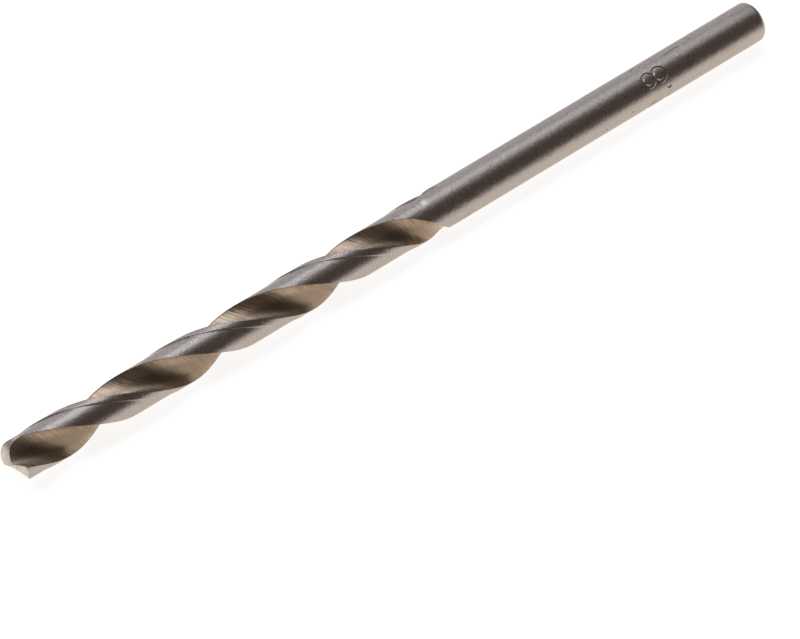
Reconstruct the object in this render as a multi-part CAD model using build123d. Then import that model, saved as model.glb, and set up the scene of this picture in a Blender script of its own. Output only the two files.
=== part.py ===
from build123d import *
import math
import os

# A jobber twist drill bit, ground from one round bar of high-speed steel: a
# plain round shank, two helical flutes that run out where the shank starts,
# two lands with narrow margins, and a ground point with two lips.
# Lengths are millimetres, angles are degrees.

# Bar and shank
drill_diameter = 2.8  # over the margins at the point, the size of hole that it cuts
shank_diameter = 2.78  # the body tapers back to this, so that it doesn't rub in the hole
overall_length = 61.0  # chisel edge to shank end
shank_end_rounding = 0.45

# Flutes: a right-hand helix, with a web that thickens towards the shank
helix_angle = 24.7
web_at_point = 0.525
web_at_shank = 1.04
flute_floor_radius = 1.05
rake_face_tilt = 4.0  # how far the rake face leans back from a radius
flute_full_length = 30.5  # chisel edge to where the cutter starts to lift
flute_runout_length = 3.8  # from there to where the cutter leaves the bar
flute_runout_turn = 17.0  # how far the cutter runs ahead of the helix as it lifts

# Lands: a margin at full size behind each leading edge, the rest relieved
margin_angle = 21.0  # width of a margin, seen round the axis
land_relief_depth = 0.075
land_relief_length = 32.75
land_relief_angle = 104.0  # reaches past the heel, into the open flute
land_relief_last_angle = 45.0  # at its shank end, where the relief narrows
land_relief_narrowing_length = 3.1

# Point: two lips, each with a flank that falls away behind it and curves off at the heel
point_angle = 139
lip_turn = 17.3  # from the first leading edge back to a line along the first lip
lip_relief_angle = 8  # at the outer corner
centre_relief_angle = 35  # at the chisel edge
heel_curve_start = 0.98  # behind the lip, at the outer corner
heel_curve_start_at_centre = 0.68
heel_curve_radius = 1.35
heel_curve_radius_at_centre = 1.1
heel_steepest = 0.97  # sine of the steepest slope
flank_grid = 24

# At rest: how far the first leading edge, at the chisel edge's height, is
# turned about the axis from straight up
resting_turn = 55.7

# Space that each cutter needs outside the steel, and the steps of its path
cutter_clearance = 1.4
turn_per_step = 18.0

drill_radius = drill_diameter / 2
lead = math.pi * drill_diameter / math.tan(math.radians(helix_angle))
flute_end = flute_full_length + flute_runout_length


def turn_at(height):
    """How far the flutes have turned at a height above the chisel edge."""
    return 360 * height / lead


def lift_at(height):
    """How far through its run-out the cutter is, from 0 to 1."""
    return max(0, height - flute_full_length) / flute_runout_length


def half_web_at(height):
    """Distance from the axis to the flute's floor, which rises to the bar's surface in the run-out."""
    share = height / flute_full_length
    half_web = (web_at_point + share * (web_at_shank - web_at_point)) / 2
    return half_web + (drill_radius - half_web) * lift_at(height) ** 2


def heights(start, end):
    """Evenly spaced heights from start to end, close enough for a smooth helix."""
    steps = max(2, math.ceil(turn_at(end - start) / turn_per_step))
    return [start + (end - start) * step / steps for step in range(steps + 1)]


def at_height(section, height, first_turn):
    """A flat section raised to its height and turned with the helix."""
    return Pos(0, 0, height) * Rot(0, 0, first_turn + turn_at(height)) * section


def flute_section(half_web):
    """The cutter's form: a straight rake face that runs into a round floor tangent to the web."""
    lean = math.radians(rake_face_tilt)
    outwards = Vector(math.cos(lean), math.sin(lean))
    inwards = Vector(math.sin(lean), -math.cos(lean))
    corner = Vector(drill_radius, 0)
    above = corner + inwards * flute_floor_radius
    level = above.dot(outwards)
    reach = half_web + flute_floor_radius
    slide = math.sqrt(reach**2 - above.dot(above) + level**2)
    centre = above + outwards * (slide - level)
    rake_start = corner + outwards * cutter_clearance
    rake_end = centre - inwards * flute_floor_radius
    floor_end = centre + inwards * flute_floor_radius
    far_corner = rake_start + inwards * 2 * flute_floor_radius
    outline = [
        Line(rake_start, rake_end),
        ThreePointArc(rake_end, centre - outwards * flute_floor_radius, floor_end),
        Line(floor_end, far_corner),
        Line(far_corner, rake_start),
    ]
    return make_face(outline)


def flute_cutter(first_turn):
    """The path of the flute's cutter: full depth along the flute, then lifting out of the bar."""
    below = -cutter_clearance
    overrun = flute_runout_length / 5
    path = heights(below, flute_full_length)
    path += heights(flute_full_length, flute_end + overrun)[1:]
    sections = []
    for height in path:
        turn = first_turn + flute_runout_turn * lift_at(height)
        sections.append(at_height(flute_section(half_web_at(height)), height, turn))
    return loft(sections)


def relief_section(angle):
    """A sector of the ring between the relieved land and the full bar."""
    inner = drill_radius - land_relief_depth
    outer = drill_radius + cutter_clearance
    start = margin_angle
    end = margin_angle + angle
    middle = (start + end) / 2

    def at(radius, degrees):
        return Vector(radius, 0).rotate(Axis.Z, degrees)

    outline = [
        ThreePointArc(at(inner, start), at(inner, middle), at(inner, end)),
        Line(at(inner, end), at(outer, end)),
        ThreePointArc(at(outer, end), at(outer, middle), at(outer, start)),
        Line(at(outer, start), at(inner, start)),
    ]
    return make_face(outline)


def relief_cutter(first_turn):
    """The land's relief behind its margin, which narrows over its last stretch."""
    narrowing = land_relief_length - land_relief_narrowing_length
    path = heights(-cutter_clearance, narrowing)
    main = loft([at_height(relief_section(land_relief_angle), h, first_turn) for h in path])
    last = []
    for height in heights(narrowing, land_relief_length):
        share = (height - narrowing) / land_relief_narrowing_length
        angle = land_relief_angle + share * (land_relief_last_angle - land_relief_angle)
        last.append(at_height(relief_section(angle), height, first_turn))
    return main + loft(last)


def flank_height(along, behind):
    """Height of a flank at a place along its lip from the axis, and behind that lip."""
    share = along / drill_radius
    at_corner = math.tan(math.radians(lip_relief_angle))
    at_centre = math.tan(math.radians(centre_relief_angle))
    slope = at_centre + share * (at_corner - at_centre)
    start = heel_curve_start_at_centre + share * (heel_curve_start - heel_curve_start_at_centre)
    radius = heel_curve_radius_at_centre + share * (heel_curve_radius - heel_curve_radius_at_centre)
    into_heel = max(0, behind - start)
    curved = min(into_heel, heel_steepest * radius)
    heel = radius - math.sqrt(radius**2 - curved**2)
    heel += (into_heel - curved) * math.tan(math.asin(heel_steepest))
    return along / math.tan(math.radians(point_angle / 2)) + slope * behind + heel


def flank_cutter(first_turn):
    """What the wheel takes off behind one lip: everything below its flank."""
    half_web = web_at_point / 2
    chisel_height = flank_height(0, half_web)
    reach = 1.3 * drill_radius
    places = [reach * (2 * step / flank_grid - 1) for step in range(flank_grid + 1)]
    surface = []
    for x in places:
        row = [Vector(x, y, flank_height(x, y + half_web) - chisel_height) for y in places]
        surface.append(row)
    flank = Face.make_surface_from_array_of_points(surface)
    cutter = extrude(flank, amount=2 * drill_diameter, dir=(0, 0, -1))
    return Rot(0, 0, first_turn + lip_turn) * cutter


def drill_bit():
    bar = Cone(
        drill_radius,
        shank_diameter / 2,
        flute_end,
        align=(Align.CENTER, Align.CENTER, Align.MIN),
    )
    shank = Pos(0, 0, flute_end) * Cylinder(
        shank_diameter / 2,
        overall_length - flute_end,
        align=(Align.CENTER, Align.CENTER, Align.MIN),
    )
    shank = fillet(shank.edges().sort_by(Axis.Z)[-1], shank_end_rounding)
    drill = bar + shank
    for first_turn in (0, 180):
        drill -= flute_cutter(first_turn)
        drill -= relief_cutter(first_turn)
        drill -= flank_cutter(first_turn)
    return drill


def at_rest(drill):
    """Lying along +X from the point to the shank, centred, on the surface that carries it."""
    lying = Plane(origin=(-overall_length / 2, 0, drill_radius), x_dir=(0, 0, 1), z_dir=(1, 0, 0))
    return lying * Rot(0, 0, resting_turn) * drill


os.makedirs("parts", exist_ok=True)
export_step(at_rest(drill_bit()), "parts/drill_bit.step")
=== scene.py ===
import cmath
import math

import bmesh
import bpy
from mathutils import Matrix, Vector, noise


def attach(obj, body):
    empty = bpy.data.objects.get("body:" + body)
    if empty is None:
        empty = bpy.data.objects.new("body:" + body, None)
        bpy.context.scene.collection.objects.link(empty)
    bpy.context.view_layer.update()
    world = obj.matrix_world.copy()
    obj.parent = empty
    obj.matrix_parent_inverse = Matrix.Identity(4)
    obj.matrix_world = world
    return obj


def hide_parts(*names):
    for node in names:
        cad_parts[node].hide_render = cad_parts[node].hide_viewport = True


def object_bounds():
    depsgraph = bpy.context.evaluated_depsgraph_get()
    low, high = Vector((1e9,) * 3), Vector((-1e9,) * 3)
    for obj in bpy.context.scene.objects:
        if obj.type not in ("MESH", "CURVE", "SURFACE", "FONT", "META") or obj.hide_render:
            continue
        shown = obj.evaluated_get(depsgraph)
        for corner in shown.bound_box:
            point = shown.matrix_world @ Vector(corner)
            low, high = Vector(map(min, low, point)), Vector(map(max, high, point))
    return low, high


bl_info = {
    "name": "Twist drill bit",
    "version": (1, 0, 0),
    "blender": (4, 5, 0),
    "location": "3D View > Sidebar > Drill bit",
    "description": "Builds a jobber twist drill bit with its flutes, lands, point and shank",
    "category": "Object",
}

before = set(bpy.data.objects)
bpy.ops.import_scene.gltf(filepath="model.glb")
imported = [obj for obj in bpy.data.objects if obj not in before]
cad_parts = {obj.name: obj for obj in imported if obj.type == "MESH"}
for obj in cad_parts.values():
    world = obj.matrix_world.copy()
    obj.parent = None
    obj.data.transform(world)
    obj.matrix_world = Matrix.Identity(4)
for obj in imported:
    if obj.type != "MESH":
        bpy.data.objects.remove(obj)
cad_low, cad_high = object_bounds()

MM = 0.001
LENGTH = cad_high.x - cad_low.x


class DrillBitSizes(bpy.types.PropertyGroup):
    length: bpy.props.FloatProperty(
        name="Length",
        description="From the chisel edge to the shank end",
        default=LENGTH,
        unit="LENGTH",
    )
    diameter: bpy.props.FloatProperty(
        name="Diameter",
        description="Over the margins at the point",
        default=2.8 * MM,
        unit="LENGTH",
    )
    shank_diameter: bpy.props.FloatProperty(
        name="Shank diameter",
        description="Of the plain round shank",
        default=2.78 * MM,
        unit="LENGTH",
    )
    end_rounding: bpy.props.FloatProperty(
        name="End rounding",
        description="Radius round the shank end",
        default=0.45 * MM,
        unit="LENGTH",
    )
    helix_angle: bpy.props.FloatProperty(
        name="Helix angle",
        description="Of the flutes at the margins",
        default=math.radians(24.7),
        subtype="ANGLE",
    )
    web_at_point: bpy.props.FloatProperty(
        name="Web at the point",
        description="Steel left between the flutes",
        default=0.525 * MM,
        unit="LENGTH",
    )
    web_at_shank: bpy.props.FloatProperty(
        name="Web at the shank",
        description="Where the flutes start to run out",
        default=1.04 * MM,
        unit="LENGTH",
    )
    floor_radius: bpy.props.FloatProperty(
        name="Flute floor radius",
        description="Of the round flute floor",
        default=1.05 * MM,
        unit="LENGTH",
    )
    rake_tilt: bpy.props.FloatProperty(
        name="Rake face tilt",
        description="Lean of the rake face from a radius",
        default=math.radians(4.0),
        subtype="ANGLE",
    )
    flute_length: bpy.props.FloatProperty(
        name="Full flute",
        description="From the point to where the flutes start to run out",
        default=30.5 * MM,
        unit="LENGTH",
    )
    runout_length: bpy.props.FloatProperty(
        name="Run-out",
        description="From there to where the flutes leave the bar",
        default=3.8 * MM,
        unit="LENGTH",
    )
    runout_turn: bpy.props.FloatProperty(
        name="Run-out turn",
        description="How far the flutes run ahead of the helix there",
        default=math.radians(17.0),
        subtype="ANGLE",
    )
    margin_angle: bpy.props.FloatProperty(
        name="Margin angle",
        description="Width of a margin round the axis",
        default=math.radians(21.0),
        subtype="ANGLE",
    )
    relief_depth: bpy.props.FloatProperty(
        name="Land relief",
        description="Depth of the land behind its margin",
        default=0.075 * MM,
        unit="LENGTH",
    )
    relief_length: bpy.props.FloatProperty(
        name="Relief length",
        description="From the point to the end of the relief",
        default=32.75 * MM,
        unit="LENGTH",
    )
    relief_angle: bpy.props.FloatProperty(
        name="Relief angle",
        description="Full width of the relief, past the heel",
        default=math.radians(104.0),
        subtype="ANGLE",
    )
    relief_last_angle: bpy.props.FloatProperty(
        name="Last relief angle",
        description="Width of the relief at its end",
        default=math.radians(45.0),
        subtype="ANGLE",
    )
    narrowing_length: bpy.props.FloatProperty(
        name="Relief narrowing",
        description="Length over which the relief narrows",
        default=3.1 * MM,
        unit="LENGTH",
    )
    point_angle: bpy.props.FloatProperty(
        name="Point angle",
        description="Between the two lips",
        default=math.radians(139.0),
        subtype="ANGLE",
    )
    lip_turn: bpy.props.FloatProperty(
        name="Lip turn",
        description="From a leading edge back to its lip",
        default=math.radians(17.3),
        subtype="ANGLE",
    )
    corner_relief: bpy.props.FloatProperty(
        name="Corner relief",
        description="Slope behind the lip, at its outer corner",
        default=math.radians(8.0),
        subtype="ANGLE",
    )
    centre_relief: bpy.props.FloatProperty(
        name="Centre relief",
        description="Slope behind the lip, at the chisel edge",
        default=math.radians(35.0),
        subtype="ANGLE",
    )
    corner_start: bpy.props.FloatProperty(
        name="Heel start, corner",
        description="From the lip to where the heel curves off",
        default=0.98 * MM,
        unit="LENGTH",
    )
    centre_start: bpy.props.FloatProperty(
        name="Heel start, centre",
        description="From the lip to where the heel curves off",
        default=0.68 * MM,
        unit="LENGTH",
    )
    corner_radius: bpy.props.FloatProperty(
        name="Heel radius, corner",
        description="Of the curve at the heel",
        default=1.35 * MM,
        unit="LENGTH",
    )
    centre_radius: bpy.props.FloatProperty(
        name="Heel radius, centre",
        description="Of the curve at the heel",
        default=1.1 * MM,
        unit="LENGTH",
    )
    steepest: bpy.props.FloatProperty(
        name="Steepest heel", description="Sine of the heel's steepest slope", default=0.97
    )
    resting_turn: bpy.props.FloatProperty(
        name="Resting turn",
        description="Turn of the first leading edge from straight up",
        default=math.radians(55.7),
        subtype="ANGLE",
    )
    number: bpy.props.StringProperty(
        name="Number", description="Engraved on the shank", default="2.8"
    )
    number_height: bpy.props.FloatProperty(
        name="Number height",
        description="Of each figure, along the shank",
        default=2.1 * MM,
        unit="LENGTH",
    )
    number_place: bpy.props.FloatProperty(
        name="Number place",
        description="Middle of the number along the drill",
        default=21.0 * MM,
        unit="LENGTH",
    )
    number_angle: bpy.props.FloatProperty(
        name="Number angle",
        description="Middle of the last figure, up from the side",
        default=math.radians(56.0),
        subtype="ANGLE",
    )


class DrillBitFinish(bpy.types.PropertyGroup):
    steel: bpy.props.FloatVectorProperty(
        name="Steel",
        description="Ground high-speed steel",
        default=(0.50, 0.455, 0.43),
        subtype="COLOR",
    )
    flank: bpy.props.FloatVectorProperty(
        name="Flanks",
        description="Bright steel of the ground point",
        default=(0.70, 0.665, 0.635),
        subtype="COLOR",
    )
    flute: bpy.props.FloatVectorProperty(
        name="Flute",
        description="Tinted steel in the flutes",
        default=(0.545, 0.435, 0.33),
        subtype="COLOR",
    )
    glow: bpy.props.FloatVectorProperty(
        name="Floor glow",
        description="What the steel mirrors of the floor",
        default=(0.95, 0.87, 0.78),
        subtype="COLOR",
    )
    floor: bpy.props.FloatVectorProperty(
        name="Floor", description="The pale floor", default=(0.55, 0.54, 0.53), subtype="COLOR"
    )


# ---------------------------------------------------------------- materials

# sockets of the colour Mix node
MIX_FACTOR, MIX_FIRST, MIX_SECOND, MIX_RESULT = 0, 6, 7, 2
# where the dark of a noise ends and its light starts
LINE_TONES, FLANK_TONES, HUE_TONES = (0.35, 0.65), (0.35, 0.6), (0.4, 0.6)
# the slant of the wheel's lines in a flute: its cosine and its sine
SLANT = complex(0.848, 0.53)
# the terms of the curve across a flute that its shine follows, and where along it ends, in mm
FLUTE_CURVE = (0.3278, -0.16465, -0.10607, 0.03975)
FLUTE_CURVE_END = (31.5, 34.0)
# how far from the heel, in mm, the painted shade in the flutes starts, and how far turned away from
# the view it is gone
SHADE_START, SHADE_FACING = (0.45, 1.05), (0.12, 0.62)
ROSY = (1.03, 0.95, 0.96)


class Sum:
    """A node socket that takes part in sums, each of which adds its own Math node."""

    def __init__(self, shader, socket):
        self.shader = shader
        self.socket = socket

    def _join(self, operation, first, second):
        return self.shader.add("ShaderNodeMath", {"operation": operation}, {0: first, 1: second})

    def __add__(self, other):
        return self._join("ADD", self, other)

    def __radd__(self, other):
        return self._join("ADD", other, self)

    def __sub__(self, other):
        return self._join("SUBTRACT", self, other)

    def __rsub__(self, other):
        return self._join("SUBTRACT", other, self)

    def __mul__(self, other):
        return self._join("MULTIPLY", self, other)

    def __rmul__(self, other):
        return self._join("MULTIPLY", other, self)

    def __truediv__(self, other):
        return self._join("DIVIDE", self, other)

    def __rtruediv__(self, other):
        return self._join("DIVIDE", other, self)

    def output(self, name):
        """Another output of the same node."""
        return Sum(self.shader, self.socket.node.outputs[name])


class Shader:
    """The nodes of a material or of the room's light, added one by one."""

    def __init__(self, painted):
        self.painted = painted
        painted.use_nodes = True
        self.tree = painted.node_tree
        self.tree.nodes.clear()

    def add(self, kind, settings=None, values=None, output=0):
        node = self.tree.nodes.new(kind)
        for name, value in (settings or {}).items():
            setattr(node, name, value)
        for name, value in (values or {}).items():
            if isinstance(value, Sum):
                self.tree.links.new(value.socket, node.inputs[name])
            else:
                node.inputs[name].default_value = value
        return Sum(self, node.outputs[output]) if node.outputs else None

    def finish(self, surface, kind="ShaderNodeOutputMaterial"):
        self.add(kind, values={"Surface": surface})
        return self.painted

    def place(self):
        """Object coordinates, in millimetres."""
        point = self.add("ShaderNodeTexCoord", output="Object")
        parts = self.add("ShaderNodeSeparateXYZ", values={0: point})
        return parts * (1 / MM), parts.output("Y") * (1 / MM), parts.output("Z") * (1 / MM)

    def unrolled(self):
        """Millimetres round the drill and along it, from the surface's own map."""
        point = self.add("ShaderNodeUVMap", {"uv_map": "surface"})
        parts = self.add("ShaderNodeSeparateXYZ", values={0: point})
        return parts * (1 / MM), parts.output("Y") * (1 / MM)

    def noise(self, across, up=0.0, out=0.0, detail=3.0, coarse=0.6):
        """Cloudy values about 0.5, one unit of each coordinate to a cloud."""
        point = self.add("ShaderNodeCombineXYZ", values={0: across, 1: up, 2: out})
        values = {"Vector": point, "Scale": 1.0, "Detail": detail, "Roughness": coarse}
        return self.add("ShaderNodeTexNoise", values=values)

    def between(self, value, start, end, first, last):
        """From first to last, smoothly, as the value goes from start to end."""
        settings = {"interpolation_type": "SMOOTHSTEP"}
        values = {0: value, 1: start, 2: end, 3: first, 4: last}
        return self.add("ShaderNodeMapRange", settings, values)

    def tint(self, colour, share, other):
        """From one colour to another by a share."""
        values = {MIX_FACTOR: share, MIX_FIRST: opaque(colour), MIX_SECOND: opaque(other)}
        return self.add("ShaderNodeMix", {"data_type": "RGBA"}, values, output=MIX_RESULT)

    def steel(self, colour, roughness, height):
        """Bare metal; height is in millimetres."""
        values = {"Strength": 1.0, "Distance": MM, "Height": height}
        normal = self.add("ShaderNodeBump", values=values)
        values = {"Base Color": colour, "Metallic": 1.0, "Roughness": roughness, "Normal": normal}
        return self.finish(self.add("ShaderNodeBsdfPrincipled", values=values))


def opaque(colour):
    """A colour as its socket takes it, which may be the output of another node."""
    return colour if isinstance(colour, Sum) else (*colour, 1)


def darker(colour, share):
    return tuple(channel * share for channel in colour)


def round_ground_steel(name, colour, roughness):
    """Steel ground as it spins: fine lines run round the bar. Sizes are in millimetres."""
    line_width, line_length, wave_width, wave_length, speck_size = 0.1, 0.2, 0.5, 0.6, 0.2
    line_height, wave_height, speck_depth = 0.02, 0.014, 0.01
    speck_start, speck_full, line_dulling, speck_dulling = 0.72, 0.8, 0.35, 0.5
    darkest, rough_spread = 0.45, 0.25
    shader = Shader(bpy.data.materials.new(name))
    x, y, z = shader.place()
    lines = shader.noise(
        x / line_width, y / line_length, z / line_length, detail=4.0, coarse=0.7
    )
    waves = shader.noise(x / wave_width, y / wave_length, z / wave_length, detail=1.0)
    speckle = shader.noise(x / speck_size, y / speck_size, z / speck_size, detail=1.0)
    specks = shader.between(speckle, speck_start, speck_full, 0.0, 1.0)
    height = lines * line_height + waves * wave_height - specks * speck_depth
    share = shader.between(lines, *LINE_TONES, line_dulling, 0.0) + specks * speck_dulling
    base = shader.tint(colour, share, darker(colour, darkest))
    return shader.steel(base, roughness + (lines - 0.5) * rough_spread, height)


def flute_steel(name, colour, roughness):
    """Tinted steel that the flute wheel has crossed at a slant, with painted shade deep in the
    flute. Sizes are in millimetres.
    """
    line_width, line_length, fine_width, fine_length = 0.1, 1.6, 0.045, 0.5
    wave_size, pit_size, hue_width, hue_length = 0.9, 0.16, 0.25, 1.5
    line_height, fine_height, wave_height, pit_depth = 0.04, 0.008, 0.02, 0.012
    pit_start, pit_full, line_dulling, pit_dulling, painted_shade_dulling = 0.74, 0.8, 0.6, 0.4, 0.95
    bend, darkest, rough_spread = 0.06, 0.45, 0.2
    shader = Shader(bpy.data.materials.new(name))
    around, along = shader.unrolled()
    across = around * SLANT.imag - along * SLANT.real + around * around * bend
    length = around * SLANT.real + along * SLANT.imag
    lines = shader.noise(across / line_width, length / line_length)
    fine = shader.noise(across / fine_width, length / fine_length, 7.0)
    waves = shader.noise(around / wave_size, along / wave_size, 3.0, detail=1.0)
    pitting = shader.noise(around / pit_size, along / pit_size, 5.0, detail=1.0)
    pits = shader.between(pitting, pit_start, pit_full, 0.0, 1.0)
    rise = 0.0
    for term in reversed(FLUTE_CURVE):
        rise = around * (rise + term)
    curve = rise * shader.between(along, *FLUTE_CURVE_END, 1.0, 0.0)
    height = lines * line_height + fine * fine_height + waves * wave_height
    height = height - pits * pit_depth + curve
    hue = shader.noise(across / hue_width, length / hue_length, 11.0, detail=2.0)
    rosy = tuple(channel * share for channel, share in zip(colour, ROSY))
    tinted = shader.tint(colour, shader.between(hue, *HUE_TONES, 0.0, 1.0), rosy)
    # painted shade: deep in the flute the base colour darkens where the surface faces the view, and
    # less as it turns away
    facing = shader.add("ShaderNodeLayerWeight", values={"Blend": 0.5}, output="Facing")
    deep = shader.between(around, *SHADE_START, 0.0, 1.0)
    painted_shade = shader.between(facing, *SHADE_FACING, painted_shade_dulling, 0.0) * deep
    # darkening from the grinding lines and pits, with the painted shade added on top
    dull = shader.between(lines, *LINE_TONES, line_dulling, 0.0) * (1.0 - painted_shade)
    dull = dull + pits * pit_dulling + painted_shade
    base = shader.tint(tinted, dull, darker(colour, darkest))
    return shader.steel(base, roughness + (fine - 0.5) * rough_spread, height)


def flank_steel(name, colour, roughness):
    """Steel fresh from the point grinder, with crossing lines. Sizes are in millimetres."""
    one_width, two_width, line_length = 0.06, 0.07, 0.5
    one_height, two_height, one_lean, two_lean = 0.02, 0.016, 0.3, 0.4
    line_dulling, darkest, rough_spread = 0.6, 0.6, 0.2
    shader = Shader(bpy.data.materials.new(name))
    x, y, z = shader.place()
    far = x / line_length
    one = shader.noise((y + z * one_lean) / one_width, (z - y * one_lean) / line_length, far)
    two = shader.noise(
        (z + y * two_lean) / two_width, (y - z * two_lean) / line_length, far + 9.0
    )
    height = one * one_height + two * two_height
    share = shader.between(one, *FLANK_TONES, line_dulling, 0.0)
    base = shader.tint(colour, share, darker(colour, darkest))
    return shader.steel(base, roughness + (two - 0.5) * rough_spread, height)


# ---------------------------------------------------------------- the drill's shape

LAND, MARGIN, FLUTE, SHANK, FLANK = range(5)
MARGIN_STEPS = 6
RELIEF_STEPS = 20
REST_STEPS = 30
FLUTE_STEPS = 44
ROW = 0.2 * MM
BELOW_POINT = 0.3 * MM
EDGE = 0.02 * MM
STEP_EDGE = 0.04 * MM
EDGE_COLUMNS = 4
RELIEF_RAMP = 0.16 * MM
# past the flutes, the rings' points even out over these rows
BLEND_STEPS, BLEND_ROW = 6, 0.3 * MM
SHANK_STEPS, ROUNDING_STEPS, END_STEPS = 10, 8, 5
FLANK_STEPS = 60
FLANK_REACH = 1.3
FLANK_CUT = 3
BURR_LENGTH = 0.09 * MM
BURR_HEIGHT = 0.008 * MM
NUMBER_THINNING = -0.02
NUMBER_SLOPE = 0.025
NUMBER_NARROWING = 0.95
NUMBER_PAST_TOP = 0.62 * MM
NUMBER_DEPTH = 0.06 * MM
NUMBER_SLICE = 0.1 * MM
NUMBER_SLICES = range(-45, 10)
# each dent's place along the drill in mm, its angle up from the side, and its half sizes in mm
DENTS = (
    (23.45, 96, (0.78, 0.13, 0.065)),
    (20.25, 111, (0.16, 0.1, 0.06)),
    (20.75, 106, (0.07, 0.06, 0.05)),
    (21.8, 115, (0.1, 0.08, 0.05)),
    (16.4, -7, (0.09, 0.06, 0.05)),
    (18.65, 0, (0.07, 0.06, 0.05)),
)
TINY = 1e-9
MERGE, NUMBER_MERGE = 1e-8, 1e-7
SHARP_ANGLE = math.radians(28)


def spread(start, end, steps):
    """Evenly spaced values from start to end, with both."""
    return [start + (end - start) * step / steps for step in range(steps + 1)]


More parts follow.
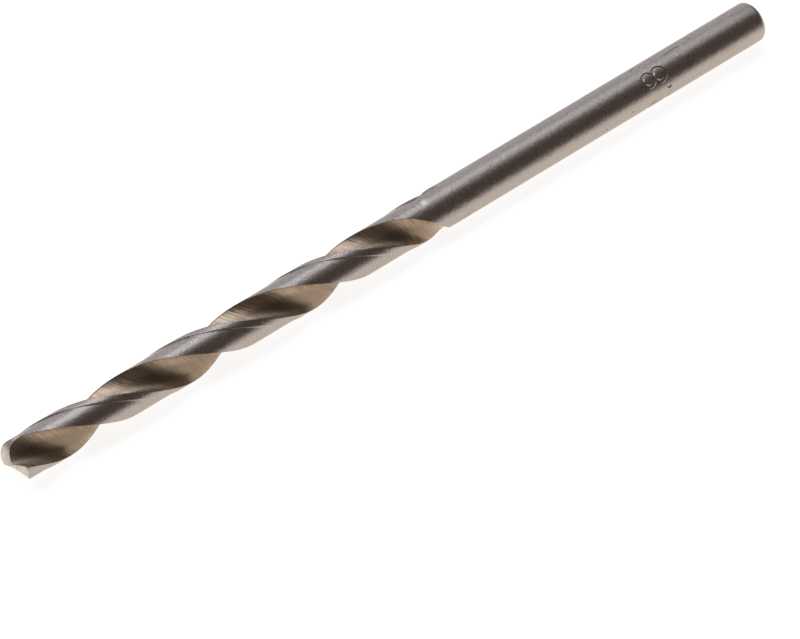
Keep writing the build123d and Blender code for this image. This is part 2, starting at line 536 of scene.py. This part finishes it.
class DrillForm:
    """The section of the drill at any height above its chisel edge. Points are complex numbers."""

    def __init__(self, sizes):
        self.s = sizes
        self.radius = sizes.diameter / 2
        self.lead = math.pi * sizes.diameter / math.tan(sizes.helix_angle)
        self.flute_end = sizes.flute_length + sizes.runout_length

    def turn(self, height):
        return math.tau * height / self.lead

    def lift(self, height):
        return min(1.0, max(0.0, height - self.s.flute_length) / self.s.runout_length)

    def bar_radius(self, height):
        share = min(1.0, max(0.0, height / self.flute_end))
        return self.radius + share * (self.s.shank_diameter / 2 - self.radius)

    def half_web(self, height):
        share = height / self.s.flute_length
        web = (self.s.web_at_point + share * (self.s.web_at_shank - self.s.web_at_point)) / 2
        return web + (self.bar_radius(height) - web) * self.lift(height) ** 2

    def flute(self, height, heel_radius):
        """Across one flute, from the heel of the land ahead of it to the leading edge behind it."""
        form = self.s.floor_radius
        bar = self.bar_radius(height)
        outward = cmath.rect(1, self.s.rake_tilt)
        inward = outward * -1j
        above = self.radius + inward * form
        level = (above * outward.conjugate()).real
        reach = self.half_web(height) + form
        centre = above + outward * (math.sqrt(reach**2 - abs(above) ** 2 + level**2) - level)
        deepest = -centre / abs(centre)
        rake_side = cmath.phase(-inward / deepest)
        heel_side = -math.copysign(self.opening(abs(centre), form, heel_radius), rake_side)
        rake = centre - inward * form
        straight = 0.0
        if abs(rake) > bar:
            rake_side = math.copysign(self.opening(abs(centre), form, bar), rake_side)
        else:
            across = rake * outward.conjugate()
            straight = math.sqrt(bar**2 - across.imag**2) - across.real
        curve = abs(rake_side - heel_side) * form
        points = []
        for step in range(FLUTE_STEPS + 1):
            way = (curve + straight) * step / FLUTE_STEPS
            if way > curve:
                points.append(rake + outward * (way - curve))
            else:
                angle = heel_side + math.copysign(way / form, rake_side)
                points.append(centre + form * deepest * cmath.rect(1, angle))
        ahead = cmath.rect(1, self.s.runout_turn * self.lift(height))
        return [point * ahead for point in points]

    def opening(self, distance, form, radius):
        """Half the angle that a circle round the axis takes out of the floor's own circle."""
        cosine = (distance**2 + form**2 - radius**2) / (2 * distance * form)
        return math.acos(min(1.0, cosine))

    def half_ring(self, height, relieved):
        """From one leading edge round its land and across the flute to the other leading edge."""
        s = self.s
        bar = self.bar_radius(height)
        inner = min(bar, self.radius - s.relief_depth)
        start = s.relief_length - s.narrowing_length
        share = min(1.0, max(0.0, (height - start) / s.narrowing_length))
        relief_end = s.margin_angle + s.relief_angle
        relief_end += share * (s.relief_last_angle - s.relief_angle)
        land_radius = inner if relieved else bar
        flute = [-point for point in self.flute(height, bar)]
        heel = cmath.phase(flute[0])
        reaches_heel = relieved and relief_end > heel
        if reaches_heel:
            flute = [-point for point in self.flute(height, inner)]
            heel = cmath.phase(flute[0])
        edge = cmath.phase(-flute[-1])
        margin_end = max(edge, s.margin_angle)
        relief_end = min(relief_end, heel)
        margin = self.arc(bar, edge, margin_end, MARGIN_STEPS)
        land = self.arc(land_radius, margin_end, relief_end, RELIEF_STEPS)
        land += self.arc(inner if reaches_heel else bar, relief_end, heel, REST_STEPS)
        leading = self.blunt(-flute[-2], margin[0], margin[1])
        trailing = self.blunt(land[-2], land[-1], flute[1])
        top = self.blunt(margin[-2], margin[-1], land[0], STEP_EDGE)
        foot = self.blunt(margin[-1], land[0], land[1], STEP_EDGE)
        return leading + margin[1:-1] + top + foot + land[1:-1] + trailing + flute[1:-1]

    def blunt(self, before, corner, after, edge=EDGE):
        """A corner with its edge rounded over, as three points."""
        size = min(edge, abs(before - corner) / 2, abs(after - corner) / 2)
        first = corner + (before - corner) / max(abs(before - corner), TINY) * size
        last = corner + (after - corner) / max(abs(after - corner), TINY) * size
        return [first, (first + 2 * corner + last) / 4, last]

    def arc(self, radius, start, end, steps):
        return [cmath.rect(radius, angle) for angle in spread(start, end, steps)]

    def ring(self, height, relieved):
        """The whole section, from one leading edge, turned with the helix."""
        half = self.half_ring(height, relieved)
        turn = cmath.rect(1, self.turn(height))
        return [point * turn for point in half] + [-point * turn for point in half]

    def rows(self):
        """Every ring of the fluted part, as (height, points), from below the point."""
        end = self.s.relief_length
        parts = ((-BELOW_POINT, end - RELIEF_RAMP, True), (end, self.flute_end, False))
        rows = []
        for bottom, top, relieved in parts:
            for height in spread(bottom, top, math.ceil((top - bottom) / ROW)):
                rows.append((height, self.ring(height, relieved)))
        return rows

    def shank_rows(self):
        """Rings of the shank, of its rounded end and of its end face, down to the middle."""
        s = self.s
        radius = s.shank_diameter / 2
        last = self.ring(self.flute_end, False)
        count = len(last)
        angles = [cmath.phase(last[0])]
        for one, two in zip(last, last[1:]):
            angles.append(angles[-1] + cmath.phase(two / one))
        sweep = [angles[0] + math.tau * index / count for index in range(count)]
        profile = []
        for step in range(1, BLEND_STEPS + 1):
            profile.append((self.flute_end + step * BLEND_ROW, radius, step / BLEND_STEPS))
        length = s.length - s.end_rounding
        for height in spread(profile[-1][0], length, SHANK_STEPS)[1:]:
            profile.append((height, radius, 1.0))
        for step in range(1, ROUNDING_STEPS + 1):
            angle = math.pi / 2 * step / ROUNDING_STEPS
            out = radius - s.end_rounding * (1 - math.cos(angle))
            profile.append((length + s.end_rounding * math.sin(angle), out, 1.0))
        flat = profile[-1][1]
        for step in range(1, END_STEPS + 1):
            profile.append((s.length, flat * (1 - step / END_STEPS), 1.0))
        rows = []
        for height, out, share in profile:
            ease = share * share * (3 - 2 * share)
            ring = [cmath.rect(out, a + (b - a) * ease) for a, b in zip(angles, sweep)]
            rows.append((height, ring))
        return rows


def drill_place(sizes):
    """From the drill's own upright frame to how it lies: along +X, on the floor."""
    lying = Matrix(((0, 0, 1, 0), (0, -1, 0, 0), (1, 0, 0, 0), (0, 0, 0, 1)))
    move = Matrix.Translation((-sizes.length / 2, 0, sizes.diameter / 2))
    return move @ lying @ Matrix.Rotation(sizes.resting_turn, 4, "Z")


def arc_lengths(ring):
    """How far each point of half a ring is from the leading edge, measured along the ring."""
    half = len(ring) // 2
    lengths = [0.0]
    for one, two in zip(ring[:half], ring[1 : half + 1]):
        lengths.append(lengths[-1] + abs(two - one))
    return lengths


def drill_mesh(form):
    """The whole bar as one grid, wrapped round the drill's axis, row by row."""
    rows = form.rows()
    fluted = len(rows)
    rows += form.shank_rows()
    columns = len(rows[0][1])
    half = columns // 2
    mesh = bmesh.new()
    last = len(rows) - 1
    bmesh.ops.create_grid(mesh, x_segments=columns, y_segments=last, size=1)
    uv = mesh.loops.layers.uv.new("surface")
    place = {}
    for vert in mesh.verts:
        column = round((vert.co.x + 1) / 2 * columns)
        row = round((vert.co.y + 1) / 2 * last)
        place[vert] = (row, column)
    for vert, (row, column) in place.items():
        height, ring = rows[row]
        point = ring[column % columns]
        vert.co = (point.real, point.imag, height)
    flute_start = half - FLUTE_STEPS + 1
    lengths = [arc_lengths(ring) for height, ring in rows]
    for face in mesh.faces:
        spots = [place[vert] for vert in face.verts]
        row = min(spot[0] for spot in spots)
        left = min(spot[1] for spot in spots)
        column = left % half
        face.smooth = True
        if row >= fluted - 1:
            face.material_index = SHANK
        elif column >= flute_start:
            face.material_index = FLUTE
        elif column < MARGIN_STEPS + EDGE_COLUMNS:
            face.material_index = MARGIN
        else:
            face.material_index = LAND
        for loop in face.loops:
            spot = place[loop.vert]
            across = lengths[spot[0]][spot[1] - left + column]
            if column >= flute_start:
                across -= lengths[spot[0]][flute_start]
            loop[uv].uv = (across, rows[spot[0]][0])
    bmesh.ops.remove_doubles(mesh, verts=mesh.verts, dist=MERGE)
    rim = [edge for edge in mesh.edges if edge.is_boundary]
    bmesh.ops.holes_fill(mesh, edges=rim, sides=0)
    bmesh.ops.recalc_face_normals(mesh, faces=mesh.faces)
    return mesh


def flank_height(sizes, along, behind):
    """Height of a flank at a place along its lip from the axis, and behind that lip."""
    share = along / (sizes.diameter / 2)
    at_corner = math.tan(sizes.corner_relief)
    at_centre = math.tan(sizes.centre_relief)
    slope = at_centre + share * (at_corner - at_centre)
    start = sizes.centre_start + share * (sizes.corner_start - sizes.centre_start)
    radius = sizes.centre_radius + share * (sizes.corner_radius - sizes.centre_radius)
    into_heel = max(0.0, behind - start)
    curved = min(into_heel, sizes.steepest * radius)
    heel = radius - math.sqrt(radius**2 - curved**2)
    heel += (into_heel - curved) * math.tan(math.asin(sizes.steepest))
    return along / math.tan(sizes.point_angle / 2) + slope * behind + heel


def flank_cutter(sizes, first_turn):
    """What the wheel takes off behind one lip, as a solid under the flank's sheet."""
    half_web = sizes.web_at_point / 2
    chisel_height = flank_height(sizes, 0, half_web)
    reach = FLANK_REACH * sizes.diameter / 2
    mesh = bmesh.new()
    mesh.loops.layers.uv.new("surface")
    bmesh.ops.create_grid(mesh, x_segments=FLANK_STEPS, y_segments=FLANK_STEPS, size=reach)
    for vert in mesh.verts:
        height = flank_height(sizes, vert.co.x, vert.co.y + half_web) - chisel_height
        spot = Vector((vert.co.x, vert.co.y, first_turn * MM))
        wander = noise.noise(spot / BURR_LENGTH)
        vert.co.z = height + wander * BURR_HEIGHT
    bottom = bmesh.ops.extrude_face_region(mesh, geom=mesh.faces)
    moved = [item for item in bottom["geom"] if isinstance(item, bmesh.types.BMVert)]
    bmesh.ops.translate(mesh, verts=moved, vec=(0, 0, -FLANK_CUT * sizes.diameter))
    bmesh.ops.recalc_face_normals(mesh, faces=mesh.faces)
    for face in mesh.faces:
        face.material_index = FLANK
        face.smooth = True
    turn = Matrix.Rotation(first_turn + sizes.lip_turn, 4, "Z")
    bmesh.ops.transform(mesh, matrix=turn, verts=mesh.verts)
    return mesh


def number_cutter(sizes):
    """The engraved number, bent round the shank as it lies, with its figures along the shank."""
    words = bpy.data.curves.new("number", "FONT")
    words.body = sizes.number
    words.offset = NUMBER_THINNING
    words.bevel_depth = NUMBER_SLOPE
    words.bevel_resolution = 0
    holder = bpy.data.objects.new("number", words)
    bpy.context.scene.collection.objects.link(holder)
    graph = bpy.context.evaluated_depsgraph_get()
    flat = bpy.data.meshes.new_from_object(holder.evaluated_get(graph))
    bpy.data.objects.remove(holder)
    mesh = bmesh.new()
    mesh.from_mesh(flat)
    low = [min(vert.co[axis] for vert in mesh.verts) for axis in (0, 1)]
    high = [max(vert.co[axis] for vert in mesh.verts) for axis in (0, 1)]
    size = sizes.number_height / (high[1] - low[1])
    middle = (low[1] + high[1]) / 2
    for vert in mesh.verts:
        vert.co.x = (vert.co.x - high[0]) * size * NUMBER_NARROWING + NUMBER_PAST_TOP
        vert.co.y = (vert.co.y - middle) * size
        vert.co.z *= NUMBER_DEPTH / NUMBER_SLOPE
    bmesh.ops.remove_doubles(mesh, verts=mesh.verts, dist=NUMBER_MERGE)
    for step in NUMBER_SLICES:
        geometry = mesh.verts[:] + mesh.edges[:] + mesh.faces[:]
        place = (step * NUMBER_SLICE, 0, 0)
        bmesh.ops.bisect_plane(mesh, geom=geometry, dist=TINY, plane_co=place, plane_no=(1, 0, 0))
    radius = sizes.shank_diameter / 2
    for vert in mesh.verts:
        angle = sizes.number_angle + vert.co.x / radius
        out = radius + vert.co.z
        rise = sizes.diameter / 2 + out * math.sin(angle)
        vert.co = (sizes.number_place - vert.co.y, -out * math.cos(angle), rise)
    return stood_up(sizes, mesh)


def dent_cutter(sizes):
    """The dents of use in the shank, each the print of a long shallow ball."""
    mesh = bmesh.new()
    for place, angle, size in DENTS:
        ball = bmesh.ops.create_uvsphere(mesh, u_segments=24, v_segments=12, radius=MM)["verts"]
        bmesh.ops.scale(mesh, verts=ball, vec=size)
        bmesh.ops.translate(mesh, verts=ball, vec=(place * MM, 0, sizes.shank_diameter / 2))
        turn = Matrix.Rotation(math.radians(90 - angle), 3, "X")
        bmesh.ops.rotate(mesh, verts=ball, cent=(0, 0, 0), matrix=turn)
    bmesh.ops.translate(mesh, verts=mesh.verts, vec=(0, 0, sizes.diameter / 2))
    return stood_up(sizes, mesh)


def stood_up(sizes, mesh):
    """A cutter made where the drill lies, put into the drill's own upright frame."""
    bmesh.ops.transform(mesh, matrix=drill_place(sizes).inverted(), verts=mesh.verts)
    bmesh.ops.recalc_face_normals(mesh, faces=mesh.faces)
    if not mesh.loops.layers.uv:
        mesh.loops.layers.uv.new("surface")
    for face in mesh.faces:
        face.material_index = SHANK
        face.smooth = True
    return mesh


def as_object(name, mesh, materials):
    """An object of flat triangles, which cut cleanly."""
    bmesh.ops.triangulate(mesh, faces=mesh.faces)
    data = bpy.data.meshes.new(name)
    mesh.to_mesh(data)
    mesh.free()
    for material in materials:
        data.materials.append(material)
    piece = bpy.data.objects.new(name, data)
    bpy.context.scene.collection.objects.link(piece)
    return piece


def cut_away(piece, cutters, materials):
    """The piece's mesh after each cutter, given with whether it crosses itself."""
    used = []
    for mesh, crosses_itself in cutters:
        cut = piece.modifiers.new("cut", "BOOLEAN")
        cut.operation = "DIFFERENCE"
        cut.solver = "EXACT"
        cut.use_self = crosses_itself
        cut.material_mode = "INDEX"
        cut.object = as_object("cutter", mesh, materials)
        used.append(cut.object)
    bpy.context.view_layer.update()
    graph = bpy.context.evaluated_depsgraph_get()
    made = bpy.data.meshes.new_from_object(piece.evaluated_get(graph))
    piece.modifiers.clear()
    for cutter in used:
        bpy.data.objects.remove(cutter)
    return made


class DRILL_OT_bit(bpy.types.Operator):
    """Build the drill bit from its sizes and finish"""

    bl_idname = "drill.bit"
    bl_label = "Drill bit"

    def execute(self, context):
        sizes = context.scene.drill_sizes
        finish = context.scene.drill_finish
        materials = [
            round_ground_steel("land steel", finish.steel, roughness=0.3),
            round_ground_steel("margin steel", finish.steel, roughness=0.28),
            flute_steel("flute steel", finish.flute, roughness=0.31),
            round_ground_steel("shank steel", finish.steel, roughness=0.3),
            flank_steel("flank steel", finish.flank, roughness=0.42),
        ]
        piece = as_object("drill", drill_mesh(DrillForm(sizes)), materials)
        cutters = (
            (flank_cutter(sizes, 0), False),
            (flank_cutter(sizes, math.pi), False),
            (number_cutter(sizes), True),
            (dent_cutter(sizes), False),
        )
        made = cut_away(piece, cutters, materials)
        piece.data = made
        made.transform(drill_place(sizes))
        made.set_sharp_from_angle(angle=SHARP_ANGLE)
        made.name = "drill"
        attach(piece, "root")
        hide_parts("drill_bit")
        return {"FINISHED"}


# ---------------------------------------------------------------- the stage

# the floor's half width in metres, and how far from the drill, in mm, its glow has halved
FLOOR_HALF = 1.5
FLOOR_FADE = 16.0
CAMERA_GLOW = 0.86
STEEL_GLOW = 0.94
# each lamp's name, place, target, size in metres, power in watts and colour
SOFTBOXES = (
    ("top softbox", (0.1, 0.232, 0.498), (0, 0, 0), (1.1, 0.364), 0.66, (0.89, 0.93, 1.0)),
    ("window softbox", (-0.08, 0.232, 0.498), (-0.08, 0, 0), (0.7, 0.364), 1.15, (0.91, 0.94, 1.0)),
    ("back softbox", (0.1, 0.523, 0.172), (0, 0, 0), (1.1, 0.33), 0.8, (0.88, 0.92, 1.0)),
)
ROOM_COLOUR = (0.105, 0.085, 0.072)
# the camera's sensor, lens and place in mm, its reach in metres and the ways it faces
SENSOR, LENS = 36, 244.6
NEAREST, FARTHEST = 0.01, 10
CAMERA_PLACE = (-158.892, -184.296, 235.80)
CAMERA_RIGHT = (0.7568, -0.6536, 0)
CAMERA_FORWARD = (0.4635, 0.5367, -0.7051)


class DRILL_OT_stage(bpy.types.Operator):
    """Build the floor, the lamps and the camera"""

    bl_idname = "drill.stage"
    bl_label = "Stage"

    def execute(self, context):
        finish = context.scene.drill_finish
        mesh = bmesh.new()
        bmesh.ops.create_grid(mesh, x_segments=1, y_segments=1, size=FLOOR_HALF)
        floor = as_object("floor", mesh, [floor_paint(finish)])
        for lamp in SOFTBOXES:
            softbox(*lamp)
        room_light(context.scene)
        camera_at(context.scene)
        context.scene.view_settings.view_transform = "Standard"
        return {"FINISHED"}


def floor_paint(finish):
    """Pale paint that glows: white to the camera, and warm near the drill in the steel."""
    shader = Shader(bpy.data.materials.new("floor paint"))
    paint = shader.add("ShaderNodeBsdfDiffuse", values={"Color": (*finish.floor, 1)})
    x, y, z = shader.place()
    far = y / FLOOR_FADE
    fade = 1.0 / (far * far + 1.0)
    camera_ray = shader.add("ShaderNodeLightPath", output="Is Camera Ray")
    values = {"Color": (1, 1, 1, 1), "Strength": camera_ray * CAMERA_GLOW}
    white = shader.add("ShaderNodeEmission", values=values)
    strength = camera_ray.output("Is Glossy Ray") * fade * STEEL_GLOW
    values = {"Color": (*finish.glow, 1), "Strength": strength}
    warm = shader.add("ShaderNodeEmission", values=values)
    glow = shader.add("ShaderNodeAddShader", values={0: white, 1: warm})
    return shader.finish(shader.add("ShaderNodeAddShader", values={0: paint, 1: glow}))


def softbox(name, place, target, size, power, colour):
    lamp = bpy.data.lights.new(name, "AREA")
    lamp.shape = "RECTANGLE"
    lamp.size, lamp.size_y = size
    lamp.energy = power
    lamp.color = colour
    holder = bpy.data.objects.new(name, lamp)
    holder.location = place
    holder.rotation_mode = "QUATERNION"
    towards = Vector(target) - Vector(place)
    holder.rotation_quaternion = towards.to_track_quat("-Z", "Y")
    bpy.context.scene.collection.objects.link(holder)


def room_light(scene):
    """Dim light that the steel mirrors, and plain white where the camera sees past the floor."""
    scene.world = bpy.data.worlds.new("room")
    shader = Shader(scene.world)
    camera_ray = shader.add("ShaderNodeLightPath", output="Is Camera Ray")
    dim = shader.add("ShaderNodeBackground", values={"Color": (*ROOM_COLOUR, 1), "Strength": 1.0})
    white = shader.add("ShaderNodeBackground", values={"Color": (1, 1, 1, 1)})
    seen = shader.add("ShaderNodeMixShader", values={0: camera_ray, 1: dim, 2: white})
    shader.finish(seen, "ShaderNodeOutputWorld")


def camera_at(scene):
    lens = bpy.data.cameras.new("camera")
    lens.sensor_width = SENSOR
    lens.lens = LENS
    lens.clip_start, lens.clip_end = NEAREST, FARTHEST
    camera = bpy.data.objects.new("camera", lens)
    right = Vector(CAMERA_RIGHT).normalized()
    forward = Vector(CAMERA_FORWARD).normalized()
    up = right.cross(forward)
    turn = Matrix((right, up, -forward)).transposed()
    camera.matrix_world = Matrix.Translation(Vector(CAMERA_PLACE) * MM) @ turn.to_4x4()
    scene.collection.objects.link(camera)
    scene.camera = camera


class DRILL_PT_panel(bpy.types.Panel):
    bl_label = "Drill bit"
    bl_idname = "DRILL_PT_panel"
    bl_space_type = "VIEW_3D"
    bl_region_type = "UI"
    bl_category = "Drill bit"

    def draw(self, context):
        for group in (context.scene.drill_sizes, context.scene.drill_finish):
            for name in group.__annotations__:
                self.layout.prop(group, name)
        self.layout.operator(DRILL_OT_bit.bl_idname)
        self.layout.operator(DRILL_OT_stage.bl_idname)


CLASSES = (DrillBitSizes, DrillBitFinish, DRILL_OT_bit, DRILL_OT_stage, DRILL_PT_panel)


def register():
    for kind in CLASSES:
        bpy.utils.register_class(kind)
    bpy.types.Scene.drill_sizes = bpy.props.PointerProperty(type=DrillBitSizes)
    bpy.types.Scene.drill_finish = bpy.props.PointerProperty(type=DrillBitFinish)


def unregister():
    del bpy.types.Scene.drill_finish
    del bpy.types.Scene.drill_sizes
    for kind in reversed(CLASSES):
        bpy.utils.unregister_class(kind)


def main():
    register()
    bpy.ops.drill.bit()
    bpy.ops.drill.stage()


if __name__ == "__main__":
    main()
